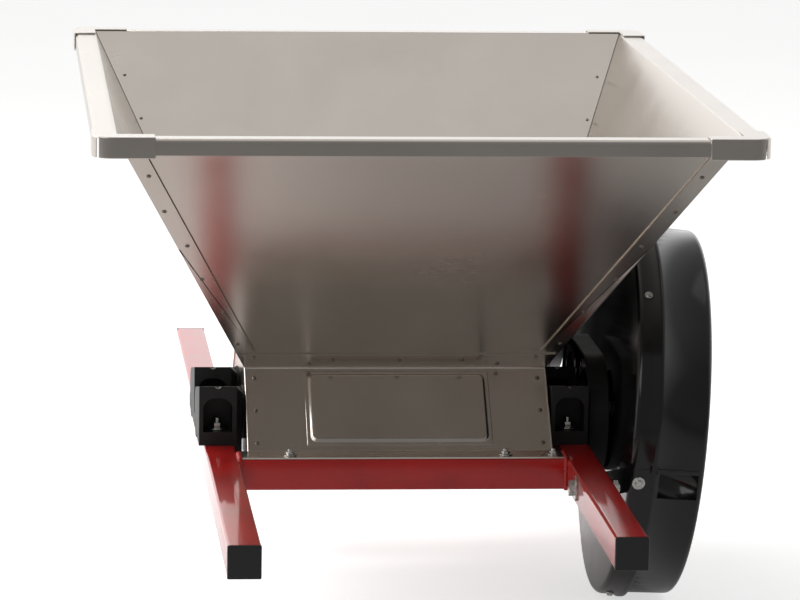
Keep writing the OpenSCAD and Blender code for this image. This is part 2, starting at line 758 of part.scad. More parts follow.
module motor_front_shield() {
    flange_r = motor_height - 1;
    color("#30353a") at_motor() translate([body_x1, 0, 0]) difference() {
        rotate([0, 90, 0]) rotate_extrude($fn = 96)
            polygon([[motor_shaft_d / 2 + running_fit, 0], [motor_core_r + 3, 0],
                [motor_core_r + 3, 2], [flange_r, 2], [flange_r, shield_w - 6],
                [motor_core_r, shield_w - 3], [motor_core_r - 2, shield_w],
                [motor_shaft_d / 2 + running_fit, shield_w]]);
    }
}
module motor_fan() {
    blades = 6;
    color("#1c1c1c") at_motor() difference() {
        union() {
            rod_x(fan_x0 + 16, fan_x0 + 40, 14);
            rod_x(fan_x0 + 36, fan_x0 + 39, motor_core_r - 6);
            for (i = [0:blades - 1]) rotate([i * 360 / blades, 0, 0])
                translate([fan_x0 + 18, -1.5, 12]) cube([19, 3, motor_core_r - 18]);
        }
        rod_x(fan_x0, fan_x0 + 60, motor_shaft_d / 2);
    }
}
module motor_fan_cover() {
    wall = 2;
    r = motor_d / 2 + 2;
    vent_rings = [18, 28, 38, 48];
    color("#262a2e") at_motor() difference() {
        rotate([0, 90, 0]) translate([0, 0, fan_x0]) rotate_extrude($fn = 96)
            polygon([[0, 0], [r - 8, 0], [r - 3, 2], [r, 8], [r, fan_cover_len - touch_gap],
                [r - wall, fan_cover_len - touch_gap], [r - wall, 8], [r - 4, 4], [r - 8, wall], [0, wall]]);
        for (ring = vent_rings, i = [0:7]) rotate([i * 45 + ring, 0, 0])
            translate([fan_x0 - 1, 0, ring]) rotate([0, 90, 0]) cylinder(h = wall + 2, r = 3.2, $fn = 24);
    }
}
foot_bolt_x = [-35, 35];
foot_bolt_y = [-56, 56];
foot_mid_x = (body_x0 + body_x1) / 2 - 12;
foot_half_y = 66;
module motor_foot() {
    foot_t = 8;
    foot_w = 104;
    saddle_w = 84;
    color("#30353a") difference() {
        union() {
            translate([foot_mid_x - foot_w / 2, motor_y - foot_half_y, frame_z + plate_t])
                cube([foot_w, 2 * foot_half_y, foot_t]);
            translate([foot_mid_x - 44, motor_y - saddle_w / 2, frame_z + plate_t])
                cube([88, saddle_w, 34]);
        }
        at_motor() rod_x(body_x0 - 1, body_x1 + 1, motor_d / 2 + touch_gap);
        for (x = foot_bolt_x, y = foot_bolt_y)
            translate([foot_mid_x + x, motor_y + y, frame_z]) cylinder(h = 20, d = 7);
    }
}
plate_back_y = motor_y + foot_half_y + 6;
plate_front_y = cross_y + tube + touch_gap;
plate_x0 = foot_mid_x - 62;
module motor_plate() {
    color("#8a1c18") difference() {
        union() {
            translate([plate_x0, plate_front_y, frame_z])
                cube([runner_out_x - plate_x0, plate_back_y - plate_front_y, plate_t]);
            translate([plate_x0, plate_front_y, 3])
                cube([runner_in_x - 4 - plate_x0, plate_t, frame_z - 3 + eps]);
        }
        for (x = foot_bolt_x, y = foot_bolt_y)
            translate([foot_mid_x + x, motor_y + y, frame_z - 1]) cylinder(h = 20, d = 7);
    }
}
// The third cross tube lies under the middle of the motor
module motor_cross_tube() {
    color("#8a1c18") cross_tube(motor_y);
}
module motor_bolts() {
    color("#b9b9b4") for (x = foot_bolt_x, y = foot_bolt_y)
        translate([foot_mid_x + x, motor_y + y, frame_z + plate_t + 8]) {
            translate([0, 0, -15]) cylinder(h = 16, d = 6);
            translate([0, 0, eps]) cylinder(h = 1.4, d = 12);
            translate([0, 0, 1.3]) hex(10, 4.5);
            translate([0, 0, -17]) hex(10, 5 - touch_gap);
        }
}

// Terminal box with the switch, at the rear where the operator stands
tbox_w = 84;
tbox_h = 60;
tbox_deep = 40;
tbox_y0 = motor_y + motor_d / 2 + touch_gap;
tbox_z0 = motor_z - tbox_h / 2;
button_x = [foot_mid_x - 18, foot_mid_x + 18];
button_r = 9;
button_travel = 3;
button_hole_deep = 14;
module terminal_box() {
    color("#3a3d40") difference() {
        union() {
            translate([foot_mid_x - tbox_w / 2, tbox_y0, tbox_z0]) cube([tbox_w, tbox_deep, tbox_h]);
            translate([foot_mid_x - 36, motor_y + motor_core_r - 8, motor_z - 16])
                cube([72, motor_d / 2 - motor_core_r + 9, 32]);
        }
        at_motor() rod_x(body_x0 - 1, body_x1 + 1, motor_d / 2 + touch_gap);
        for (x = button_x)
            translate([x, tbox_y0 + tbox_deep + 1, motor_z + 6]) rotate([90, 0, 0])
                cylinder(h = button_hole_deep + 1, r = button_r + soft_gap);
    }
}
module button(x, shade) {
    proud = 5;
    inside = button_hole_deep - button_travel - 1;
    color(shade) translate([x, tbox_y0 + tbox_deep + proud, motor_z + 6]) rotate([90, 0, 0]) {
        cylinder(h = proud + inside, r = button_r);
    }
}
module start_button() { button(button_x[0], "#2f7d3a"); }
module stop_button() { button(button_x[1], "#b3261e"); }
module cable_gland() {
    color("#1c1c1c") translate([foot_mid_x - tbox_w / 4, tbox_y0 + tbox_deep / 2, tbox_z0]) {
        translate([0, 0, -6]) hex(19, 6 - eps);
        difference() {
            translate([0, 0, -20]) cylinder(h = 14 + eps, r1 = 6.5, r2 = 8.5);
            translate([0, 0, -21]) cylinder(h = 10, r = 4);
        }
    }
}

// Belt guard: two moulded halves round both pulleys, leaning with their top outward.
// Its section is a list of stations, each a distance from the inner face and an outline radius.
band_r = pulley_d / 2 + guard_room + guard_wall;
ridge_r = band_r + guard_ridge;
inner_r = ridge_r - 2;
guard_z = axis_z + guard_lift;
tail_rise = motor_z - guard_z;
tail_dist = norm([motor_back, tail_rise]);
small_drop = band_r - motor_pulley_d / 2 - 30;
guard_w = guard_inner_w + guard_outer_w;
corner_r = 6;
ridge_w = 4;
edge_steps = 6;
function edge_arc(x, r, rad, a0, a1) =
    [for (i = [0:edge_steps]) let (a = a0 + (a1 - a0) * i / edge_steps) [x + rad * cos(a), r + rad * sin(a)]];
function guard_section(in) = concat(
    edge_arc(corner_r, inner_r - corner_r, corner_r - in, 180, 90),
    [[guard_inner_w - ridge_w - 3, inner_r - in], [guard_inner_w - ridge_w, ridge_r - in],
     [guard_inner_w - in * 0.6, ridge_r - in], [guard_inner_w + 2 - in * 0.6, band_r - in]],
    edge_arc(guard_w - guard_edge_r, band_r - guard_draft - guard_edge_r, guard_edge_r - in, 90, 0));
// One outline: a round front about the roller axis, and a smaller round rear about the motor axis
function guard_outline(r) =
    let (tilt = atan2(tail_rise, motor_back), spread = acos(small_drop / tail_dist), big = 60, small = 18)
    concat([for (i = [0:big]) let (a = tilt + spread + (360 - 2 * spread) * i / big)
            r * [cos(a), sin(a)]],
        [for (i = [0:small]) let (a = tilt - spread + 2 * spread * i / small)
            [motor_back, tail_rise] + (r - small_drop) * [cos(a), sin(a)]]);
module loft(stations) {
    count = len(guard_outline(band_r));
    rows = len(stations);
    pts = [for (s = stations) for (q = guard_outline(s[1])) [s[0], q[0], q[1]]];
    sides = [for (k = [0:rows - 2], i = [0:count - 1]) let (j = (i + 1) % count, a = k * count)
        each [[a + i, a + count + j, a + j], [a + i, a + count + i, a + count + j]]];
    near_cap = [for (i = [0:count - 1]) i];
    far_cap = [for (i = [count - 1:-1:0]) (rows - 1) * count + i];
    polyhedron(points = pts, faces = concat([near_cap], [far_cap], sides), convexity = 6);
}
module leaning() {
    translate([guard_x, front_axis_y, guard_z]) rotate([0, guard_lean, 0]) children();
}
recess_top = -guard_joint - 4;
recess_h = 25;
recess_deep = 9;
recess_x0 = guard_inner_w + 4;
recess_x1 = guard_w - 5;
module recess_box(grow) {
    front = -sqrt(band_r * band_r - guard_joint * guard_joint);
    translate([recess_x0 - grow, front - 40, recess_top - recess_h - grow])
        cube([recess_x1 - recess_x0 + 2 * grow, 40 + recess_deep + grow, recess_h + 2 * grow]);
}
module guard_skin() {
    difference() {
        union() {
            difference() {
                loft(guard_section(0));
                loft(guard_section(guard_wall));
            }
            intersection() {
                loft(guard_section(0));
                recess_box(guard_wall);
            }
        }
        recess_box(0);
    }
}
slot_r = 40;
motor_slot_r = 26;
module shaft_slots() {
    for (s = [[0, -guard_lift, slot_r], [motor_back, tail_rise, motor_slot_r]]) translate([0, s[0], s[1]]) {
        rod_x(-1, guard_wall + 1, s[2]);
        translate([-1, -s[2], -2 * band_r]) cube([guard_wall + 2, 2 * s[2], 2 * band_r]);
    }
}
module half_space(upper) {
    room = upper ? touch_gap / 2 : -touch_gap / 2;
    translate([-far / 2, -far / 2, upper ? -guard_joint + room : -guard_joint + room - far])
        cube([far, far, far]);
}
module guard_upper_shell() {
    color("#202022") leaning() difference() {
        intersection() {
            guard_skin();
            half_space(true);
        }
        shaft_slots();
    }
}
module guard_lower_shell() {
    color("#202022") leaning() intersection() {
        guard_skin();
        half_space(false);
    }
}
// Screw heads on the guard's inner band, each on its own radius
guard_screw_angles = [133, 100, 45, 250, 300];
small_screw_x = 10.5;
washer_screw_angle = 191.7;
washer_screw_x = 9.2;
module band_screw(a, x, head_d, washer_d) {
    rotate([-90 + a, 0, 0]) translate([x, 0, inner_r + eps]) {
        cylinder(h = 1.2, d = washer_d);
        translate([0, 0, 1]) cylinder(h = 2, d1 = head_d, d2 = head_d - 1.4);
    }
}
module guard_screws() {
    color("#c4c4c0") leaning() {
        for (a = guard_screw_angles) band_screw(a, small_screw_x, 6.5, 7.5);
        band_screw(washer_screw_angle, washer_screw_x, 7, 12.5);
    }
}

// Brackets from the right runner to the guard's inner face
bracket_t = 3;
bracket_h = 24;
pad_len = 34;
function bracket_dir(y) = y < 0 ? 1 : -1;
module guard_bracket(y) {
    dir = bracket_dir(y);
    pad_y = y + dir * 48;
    run = 26;
    color("#2a2a2a") difference() {
        union() {
            translate([runner_out_x + eps, y - pad_len / 2 + dir * 2, guard_bolt_z - bracket_h / 2])
                cube([bracket_t, pad_len, bracket_h]);
            hull() {
                translate([runner_out_x + eps, y + dir * (run - 9) - 0.5, guard_bolt_z - bracket_h / 2])
                    cube([bracket_t, 1, bracket_h]);
                leaning() translate([-bracket_t - eps, pad_y - dir * 14 - front_axis_y - 0.5,
                    guard_bolt_z - guard_z - bracket_h / 2]) cube([bracket_t, 1, bracket_h]);
            }
            leaning() translate([-bracket_t - eps, pad_y - front_axis_y - 15,
                guard_bolt_z - guard_z - bracket_h / 2]) cube([bracket_t, 30, bracket_h]);
        }
        translate([0, y, guard_bolt_z])
            rod_x(runner_out_x - 1, runner_out_x + 8, guard_bolt_d / 2 + soft_gap);
    }
}
module guard_front_bracket() { guard_bracket(guard_bolt_y[0]); }
module guard_rear_bracket() { guard_bracket(guard_bolt_y[1]); }
module guard_bolts() {
    color("#b9b9b4") for (y = guard_bolt_y) translate([0, y, guard_bolt_z]) {
        rod_x(runner_in_x - 2, runner_out_x + bracket_t + 8, guard_bolt_d / 2);
        rod_x(runner_in_x - 1.8, runner_in_x - eps, 12);
        translate([runner_in_x - 1.7 - 5.5, 0, 0]) rotate([0, 90, 0]) hex(13, 5.5);
        translate([runner_out_x + bracket_t + 2 * eps, 0, 0]) rotate([0, 90, 0]) hex(13, 6.5);
    }
}

left_runner();
right_runner();
front_cross_tube();
rear_cross_tube();
motor_cross_tube();
runner_end_caps();
hopper_front_panel();
hopper_rear_panel();
hopper_left_panel();
hopper_right_panel();
rim_corner_caps();
hopper_rivets();
box_front_panel();
box_rear_panel();
box_left_side();
box_right_side();
box_rivets();
box_bolts();
shaft_seals();
left_front_housing();
left_rear_housing();
right_front_housing();
right_rear_housing();
bearing_bushes();
housing_studs();
front_roller();
rear_roller();
front_shaft();
rear_shaft();
front_gear();
rear_gear();
gear_cover();
large_pulley();
drive_belt();
motor_pulley();
motor_shaft();
motor_body();
motor_front_shield();
motor_fan();
motor_fan_cover();
motor_foot();
motor_plate();
motor_bolts();
terminal_box();
start_button();
stop_button();
cable_gland();
guard_upper_shell();
guard_lower_shell();
guard_screws();
guard_front_bracket();
guard_rear_bracket();
guard_bolts();
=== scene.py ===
import json
import math

import bmesh
import bpy
from mathutils import Matrix, Vector


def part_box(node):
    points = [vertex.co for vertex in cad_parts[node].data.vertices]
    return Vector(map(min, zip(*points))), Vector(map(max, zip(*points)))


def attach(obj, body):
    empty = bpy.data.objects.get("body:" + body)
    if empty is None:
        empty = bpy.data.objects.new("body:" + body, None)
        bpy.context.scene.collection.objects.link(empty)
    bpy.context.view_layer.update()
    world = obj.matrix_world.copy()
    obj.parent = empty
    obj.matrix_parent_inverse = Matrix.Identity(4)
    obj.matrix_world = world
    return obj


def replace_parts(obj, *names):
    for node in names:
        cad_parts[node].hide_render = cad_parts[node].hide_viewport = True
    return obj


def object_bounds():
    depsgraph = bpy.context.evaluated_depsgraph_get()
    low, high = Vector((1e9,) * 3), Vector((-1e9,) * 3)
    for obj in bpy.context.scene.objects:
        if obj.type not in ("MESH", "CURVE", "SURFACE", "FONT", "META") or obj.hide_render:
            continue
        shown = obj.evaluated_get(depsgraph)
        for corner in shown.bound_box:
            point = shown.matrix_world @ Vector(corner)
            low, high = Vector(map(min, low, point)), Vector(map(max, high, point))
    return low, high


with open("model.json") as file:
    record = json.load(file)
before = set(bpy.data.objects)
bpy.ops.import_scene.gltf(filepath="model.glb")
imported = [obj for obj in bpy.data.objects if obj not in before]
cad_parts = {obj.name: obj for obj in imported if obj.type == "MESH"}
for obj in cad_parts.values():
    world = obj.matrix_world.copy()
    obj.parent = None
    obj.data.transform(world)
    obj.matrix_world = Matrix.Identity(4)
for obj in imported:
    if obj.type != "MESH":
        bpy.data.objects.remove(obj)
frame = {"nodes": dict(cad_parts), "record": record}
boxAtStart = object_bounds()
bodies = frame["record"]["behaviour"]["bodies"]
bodyOf = {name: body for body, names in bodies.items() for name in names}
slotOf = {part["node"]: part["material_slot"] for part in frame["record"]["subparts"]}
print("loaded", len(frame["nodes"]), "nodes")

mm = 0.001

# Camera: a long lens, a little above the rim and to the left; metres and degrees, the lens in mm
camera = {"lens": 202.05, "sensor": 36, "reach": 50, "place": (-0.3936, -4.3216, 0.9107),
          "yaw": 5.346, "pitch": 9.924, "roll": 0.92}


def makeCamera():
    yaw, pitch, roll = (math.radians(camera[key]) for key in ("yaw", "pitch", "roll"))
    level = math.cos(pitch)
    ahead = Vector((math.sin(yaw) * level, math.cos(yaw) * level, -math.sin(pitch)))
    side = Vector((math.cos(yaw), -math.sin(yaw), 0))
    up = side.cross(ahead)
    right = math.cos(roll) * side + math.sin(roll) * up
    over = -math.sin(roll) * side + math.cos(roll) * up
    data = bpy.data.cameras.new("photoCamera")
    data.lens, data.sensor_width, data.clip_end = camera["lens"], camera["sensor"], camera["reach"]
    cam = bpy.data.objects.new("photoCamera", data)
    turn = Matrix((right, over, -ahead)).transposed().to_4x4()
    cam.matrix_world = Matrix.Translation(camera["place"]) @ turn
    bpy.context.scene.collection.objects.link(cam)
    bpy.context.scene.camera = cam


makeCamera()
print("camera")


# Nodes, for materials and for geometry
def srgb(code):
    parts = [int(code[i:i + 2], 16) / 255 for i in (1, 3, 5)]
    return tuple(p / 12.92 if p < 0.04045 else ((p + 0.055) / 1.055) ** 2.4 for p in parts) + (1.0,)


def node(tree, kind, settings=None, inputs=None, stops=()):
    # inputs: socket -> value, or a (node, output) pair to link; stops: place and colour or grey along a ramp
    made = tree.nodes.new(kind)
    for key, value in (settings or {}).items():
        setattr(made, key, value)
    for key, value in (inputs or {}).items():
        if isinstance(value, tuple) and hasattr(value[0], "outputs"):
            tree.links.new(value[0].outputs[value[1]], made.inputs[key])
        else:
            made.inputs[key].default_value = value
    for _ in stops[2:]:
        made.color_ramp.elements.new(0.5)
    for i, (place, tone) in enumerate(stops):
        element = made.color_ramp.elements[i]
        element.position = place
        element.color = srgb(tone) if isinstance(tone, str) else (tone, tone, tone, 1)
    return made


def newMaterial(name):
    mat = bpy.data.materials.new(name)
    mat.use_nodes = True
    tree = mat.node_tree
    tree.nodes.clear()
    return mat, tree, node(tree, "ShaderNodeTexCoord")


def finishWith(tree, shader):
    node(tree, "ShaderNodeOutputMaterial", None, {"Surface": (shader, 0)})


# Cold-rolled stainless with a dull mill finish: soft wide reflections, a faint grain along the roll and
# hand smudges. In this and the next materials, sizes of patterns are in mm
millSteel = {"light": "#cfc8c0", "dark": "#c6beb5", "grain": 0.8, "stretch": 0.02, "smudge": 140,
             "grainShare": 0.15, "rough": (0.22, 0.28), "bump": 0.02, "bumpDeep": 0.03}


def makeMillSteel(name, look=millSteel):
    mat, tree, coords = newMaterial(name)
    rolled = node(tree, "ShaderNodeMapping", None,
                  {"Vector": (coords, "Object"), "Scale": (look["stretch"], 1, 1)})
    fine = node(tree, "ShaderNodeTexNoise", None,
                {"Vector": (rolled, 0), "Scale": 1 / (look["grain"] * mm), "Detail": 3,
                 "Roughness": 0.55})
    smudge = node(tree, "ShaderNodeTexNoise", None,
                  {"Vector": (coords, "Object"), "Scale": 1 / (look["smudge"] * mm), "Detail": 5,
                   "Roughness": 0.6, "Distortion": 0.4})
    both = node(tree, "ShaderNodeMix", {"data_type": "FLOAT"},
                {0: look["grainShare"], 2: (smudge, 0), 3: (fine, 0)})
    colour = node(tree, "ShaderNodeValToRGB", None, {"Fac": (both, 0)},
                  [(0.3, look["dark"]), (0.7, look["light"])])
    rough = node(tree, "ShaderNodeMapRange", None,
                 {"Value": (both, 0), "From Min": 0.3, "From Max": 0.7,
                  "To Min": look["rough"][0], "To Max": look["rough"][1]})
    bump = node(tree, "ShaderNodeBump", None,
                {"Strength": look["bump"], "Distance": look["bumpDeep"] * mm, "Height": (fine, 0)})
    shader = node(tree, "ShaderNodeBsdfPrincipled", None,
                  {"Base Color": (colour, 0), "Metallic": 1.0, "Roughness": (rough, 0), "Normal": (bump, 0)})
    finishWith(tree, shader)
    return mat


# Red two-part enamel, sprayed and baked: a hard wet-looking gloss with slight orange peel
enamel = {"base": "#c01712", "shade": "#a9120e", "peel": 2.5, "cloud": 60, "rough": (0.25, 0.4), "bump": 0.1,
          "bumpDeep": 0.06, "ior": 1.5, "specular": 0.25, "coat": 0.85, "coatRough": 0.06}


def makeEnamel(name, look=enamel):
    mat, tree, coords = newMaterial(name)
    peel = node(tree, "ShaderNodeTexNoise", None,
                {"Vector": (coords, "Object"), "Scale": 1 / (look["peel"] * mm), "Detail": 2,
                 "Roughness": 0.55})
    cloud = node(tree, "ShaderNodeTexNoise", None,
                 {"Vector": (coords, "Object"), "Scale": 1 / (look["cloud"] * mm), "Detail": 4,
                  "Roughness": 0.55})
    colour = node(tree, "ShaderNodeValToRGB", None, {"Fac": (cloud, 0)},
                  [(0.35, look["shade"]), (0.65, look["base"])])
    bump = node(tree, "ShaderNodeBump", None,
                {"Strength": look["bump"], "Distance": look["bumpDeep"] * mm, "Height": (peel, 0)})
    rough = node(tree, "ShaderNodeMapRange", None,
                 {"Value": (cloud, 0), "To Min": look["rough"][0], "To Max": look["rough"][1]})
    shader = node(tree, "ShaderNodeBsdfPrincipled", None,
                  {"Base Color": (colour, 0), "Roughness": (rough, 0), "IOR": look["ior"],
                   "Specular IOR Level": look["specular"], "Coat Weight": look["coat"],
                   "Coat Roughness": look["coatRough"], "Normal": (bump, 0)})
    finishWith(tree, shader)
    return mat


# Moulded plastic, rubber and paint: even satin with a fine grain, a little paler where it is handled. These
# values are for the belt guard's black polypropylene, which shines more than the rest
moulded = {"base": "#101011", "worn": "#161617", "grain": 0.8, "cloud": 45, "rough": (0.12, 0.19),
           "bump": 0.1, "bumpDeep": 0.03, "ior": 1.49}


def makeMoulded(name, **changes):
    look = dict(moulded, **changes)
    mat, tree, coords = newMaterial(name)
    grain = node(tree, "ShaderNodeTexNoise", None,
                 {"Vector": (coords, "Object"), "Scale": 1 / (look["grain"] * mm), "Detail": 2,
                  "Roughness": 0.55})
    cloud = node(tree, "ShaderNodeTexNoise", None,
                 {"Vector": (coords, "Object"), "Scale": 1 / (look["cloud"] * mm), "Detail": 5,
                  "Roughness": 0.55})
    colour = node(tree, "ShaderNodeValToRGB", None, {"Fac": (cloud, 0)},
                  [(0.35, look["base"]), (0.7, look["worn"])])
    rough = node(tree, "ShaderNodeMapRange", None,
                 {"Value": (cloud, 0), "From Min": 0.3, "From Max": 0.7,
                  "To Min": look["rough"][0], "To Max": look["rough"][1]})
    bump = node(tree, "ShaderNodeBump", None,
                {"Strength": look["bump"], "Distance": look["bumpDeep"] * mm, "Height": (grain, 0)})
    shader = node(tree, "ShaderNodeBsdfPrincipled", None,
                  {"Base Color": (colour, 0), "Roughness": (rough, 0), "IOR": look["ior"],
                   "Normal": (bump, 0)})
    finishWith(tree, shader)
    return mat


# Bare metals, plated, turned or cast: a highlight broken up by a cloudy skin. These values are for zinc
# plating, which is bright and slightly clouded
bareMetal = {"light": "#d0d0cc", "dark": "#b2b2ac", "cloud": 4, "rough": (0.2, 0.35), "bump": 0.25,
             "bumpDeep": 0.04}


def makeMetal(name, **changes):
    look = dict(bareMetal, **changes)
    mat, tree, coords = newMaterial(name)
    cloud = node(tree, "ShaderNodeTexNoise", None,
                 {"Vector": (coords, "Object"), "Scale": 1 / (look["cloud"] * mm), "Detail": 5,
                  "Roughness": 0.6})
    colour = node(tree, "ShaderNodeValToRGB", None, {"Fac": (cloud, 0)},
                  [(0.35, look["dark"]), (0.65, look["light"])])
    rough = node(tree, "ShaderNodeMapRange", None,
                 {"Value": (cloud, 0), "From Min": 0.3, "From Max": 0.7,
                  "To Min": look["rough"][0], "To Max": look["rough"][1]})
    bump = node(tree, "ShaderNodeBump", None,
                {"Strength": look["bump"], "Distance": look["bumpDeep"] * mm, "Height": (cloud, 0)})
    shader = node(tree, "ShaderNodeBsdfPrincipled", None,
                  {"Base Color": (colour, 0), "Metallic": 1.0, "Roughness": (rough, 0), "Normal": (bump, 0)})
    finishWith(tree, shader)
    return mat


redEnamel = makeEnamel("redBakedEnamel")
materials = {
    "painted_frame": redEnamel,
    "sheet_steel": makeMillSteel("stainlessColdRolled"),
    "bright_steel": makeMetal("zincPlatedSteel"),
    # ground steel: the tightest highlight of the metals
    "shaft_steel": makeMetal("groundShaftSteel", light="#b9b9b6", dark="#9b9b98", cloud=6, rough=(0.18, 0.3)),
    # cast aluminium: pale and grainy
    "roller_metal": makeMetal("castAluminium", light="#c6c5c0", dark="#a5a49f", cloud=3, rough=(0.4, 0.6),
                              bumpDeep=0.2),
    # sintered bronze: brownish yellow, open pores
    "bronze": makeMetal("sinteredBronze", light="#a98a56", dark="#8c6f42", cloud=1, rough=(0.35, 0.5)),
    "black_plastic": makeMoulded("blackMouldedPolypropylene"),
    # rubber: dull and a little grey
    "black_rubber": makeMoulded("blackRubber", base="#1b1b1b", worn="#252524", grain=1.2, rough=(0.55, 0.75)),
    # grey iron as cast and turned: dark and coarse
    "cast_grey": makeMetal("castIronTurned", light="#6a6c6e", dark="#4e5052", cloud=2.5, rough=(0.4, 0.6),
                           bumpDeep=0.3),
    # satin paint on bent sheet: softer than the guard's gloss
    "black_paint": makeMoulded("blackSatinPaint", base="#171717", worn="#202020", grain=2, rough=(0.3, 0.42)),
    # machine enamel on the ribbed motor: blue-grey satin
    "motor_grey": makeMoulded("greyMachineEnamel", base="#34393e", worn="#3e4449", grain=2,
                              rough=(0.3, 0.45)),
    # push caps: clear colours, smooth from use
    "green_plastic": makeMoulded("greenPushCap", base="#2c7a38", worn="#348843", grain=1, rough=(0.2, 0.3)),
    "red_plastic": makeMoulded("redPushCap", base="#b0241c", worn="#bd3027", grain=1, rough=(0.2, 0.3)),
}

# Finishes of single pieces, which differ from the rest of their slot: a dark grey painted shadow for the
# hopper's inner seams, dulled rivets, nylon housings with a dry look, and a nearly matt gear cover and guard
# brackets
# painted shadow: the dark grey of the thin lines in the hopper's inner seams
seamShadowGrey = makeMoulded("seamSealerGrey", base="#3a3632", worn="#4a4540", grain=1, rough=(0.5, 0.7))
rivetSteel = makeMetal("rivetSteelDull", light="#8e857b", dark="#6d665e", cloud=2, rough=(0.35, 0.5))
housingBlack = makeMoulded("blackMouldedNylon", base="#0b0b0c", worn="#101011", grain=1, rough=(0.48, 0.6))
coverBlack = makeMoulded("blackCoverMatt", base="#0c0c0d", worn="#121213", grain=1, rough=(0.55, 0.7))
ownMaterial = {name: housingBlack for name in slotOf if name.endswith("_housing")}
ownMaterial.update(dict.fromkeys(("gear_cover", "guard_front_bracket", "guard_rear_bracket"), coverBlack))
ownMaterial.update(dict.fromkeys(("hopper_rivets", "box_rivets"), rivetSteel))
print("materials", len(bpy.data.materials))


# Pieces: each stands for a CAD node or sits on one, and rides on that node's body
def newPiece(name, mesh, on, material=None):
    piece = bpy.data.objects.new(name, mesh)
    bpy.context.scene.collection.objects.link(piece)
    mesh.materials.clear()
    mesh.materials.append(material or ownMaterial.get(on) or materials[slotOf[on]])
    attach(piece, bodyOf[on])
    return piece


def camel(name):
    words = name.split("_")
    return words[0] + "".join(word.title() for word in words[1:])


def standIn(name, mesh):
    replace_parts(newPiece(camel(name), mesh, name), name)


def settled(mesh, modifiers):
    # the mesh after the modifiers, with none left on it
    holder = bpy.data.objects.new("holder", mesh)
    bpy.context.scene.collection.objects.link(holder)
    for kind, settings in modifiers:
        made = holder.modifiers.new(kind, kind)
        for key, value in settings.items():
            if key.startswith("Socket"):
                made[key] = value
            else:
                setattr(made, key, value)
    graph = bpy.context.evaluated_depsgraph_get()
    result = bpy.data.meshes.new_from_object(holder.evaluated_get(graph), depsgraph=graph)
    bpy.data.objects.remove(holder)
    return result


# From which angle in degrees an edge is broken or shaded sharp, and what counts as one point or one plane
dressing = {"bevelFrom": 32, "bevelSteps": 2, "sharpFrom": 32, "mergeWithin": 0.002, "flatWithin": 0.5}


def bevel(width):
    return ("BEVEL", {"limit_method": "ANGLE", "angle_limit": math.radians(dressing["bevelFrom"]),
                      "width": width * mm, "segments": dressing["bevelSteps"]})


def mergedCopy(name):
    form = bmesh.new()
    form.from_mesh(frame["nodes"][name].data)
    bmesh.ops.remove_doubles(form, verts=form.verts, dist=dressing["mergeWithin"] * mm)
    return form


def smoothed(mesh, sharpFrom):
    mesh.shade_smooth()
    mesh.set_sharp_from_angle(angle=math.radians(sharpFrom))
    return mesh


def meshFrom(form, name, sharpFrom):
    mesh = bpy.data.meshes.new(name)
    form.to_mesh(mesh)
    form.free()
    return smoothed(mesh, sharpFrom)


# Widths in mm of the broken edges on what is sawn, cast, moulded or bent
edges = {
    "hopper_front_panel": 0.35, "hopper_rear_panel": 0.35, "hopper_left_panel": 0.35,
    "hopper_right_panel": 0.35, "rim_corner_caps": 0.8, "box_front_panel": 0.75, "box_rear_panel": 0.5,
    "box_left_side": 0.35, "box_right_side": 0.35, "runner_end_caps": 1.2, "left_front_housing": 1.2,
    "left_rear_housing": 1.2, "right_front_housing": 1.2, "right_rear_housing": 1.2, "gear_cover": 1.0,
    "bearing_bushes": 0.4, "guard_bolts": 0.4, "guard_screws": 0.4, "shaft_seals": 0.4, "front_roller": 0.8,
    "rear_roller": 0.8, "front_shaft": 0.8, "rear_shaft": 0.8, "front_gear": 0.3, "rear_gear": 0.3,
    "large_pulley": 0.6, "motor_pulley": 0.5, "drive_belt": 0.6, "motor_shaft": 0.6, "motor_body": 0.5,
    "motor_front_shield": 0.8, "motor_fan": 0.4, "motor_fan_cover": 0.5, "motor_foot": 0.8,
    "motor_plate": 0.6, "motor_bolts": 0.3, "terminal_box": 1.2, "start_button": 0.8, "stop_button": 0.8,
    "cable_gland": 0.5, "guard_front_bracket": 0.4, "guard_rear_bracket": 0.4,
}


def finishedCopy(name, width, reshape=None):
    form = mergedCopy(name)
    if reshape:
        reshape(form)
    bmesh.ops.dissolve_limit(form, angle_limit=math.radians(dressing["flatWithin"]), verts=form.verts,
                             edges=form.edges)
    mesh = meshFrom(form, camel(name), dressing["sharpFrom"])
    standIn(name, settled(mesh, [bevel(width), ("WEIGHTED_NORMAL", {"keep_sharp": True})]))


# The box front's pressed field, in mm: the copied sheet is made flat, and the field is drawn on it with
# sloping walls. Foot and fold are the sheet's lower and upper line as y and z. Within is how evenly the
# field's top lies in the CAD, and risen is how far above the sheet a point counts as part of the field
pressing = {"foot": (-150.0, 30.0), "fold": (-77.01, 98.76), "clearFoot": 4, "clearFold": 10, "depth": 2.0,
            "within": 0.05, "risen": 0.2, "wall": 3.2, "corner": 6.0, "shoulder": 1.6, "step": 0.8,
            "margin": 5.0, "proud": 0.05, "thickness": 0.4, "sharpFrom": 60}
foot, fold = (Vector((0, *pressing[line])) for line in ("foot", "fold"))
upFront = (fold - foot).normalized()
outFront = Vector((1, 0, 0)).cross(upFront)
fieldBox = {}  # filled by flattenField: the field's height, and its span across and up the sheet


def flattenField(form, look=pressing):
    places = [(v, (v.co / mm - foot).dot(upFront), (v.co / mm - foot).dot(outFront)) for v in form.verts]
    last = (fold - foot).length - look["clearFold"]
    places = [p for p in places if look["clearFoot"] < p[1] < last]
    top = max(out for _, _, out in places)
    field = [p for p in places if p[2] > top - look["within"]]
    across, up = [p[0].co.x / mm for p in field], [p[1] for p in field]
    fieldBox.update({"top": top, "across": (min(across), max(across)), "up": (min(up), max(up))})
    for vert, _, out in places:
        if out > top - look["depth"] + look["risen"]:
            vert.co -= outFront * look["depth"] * mm


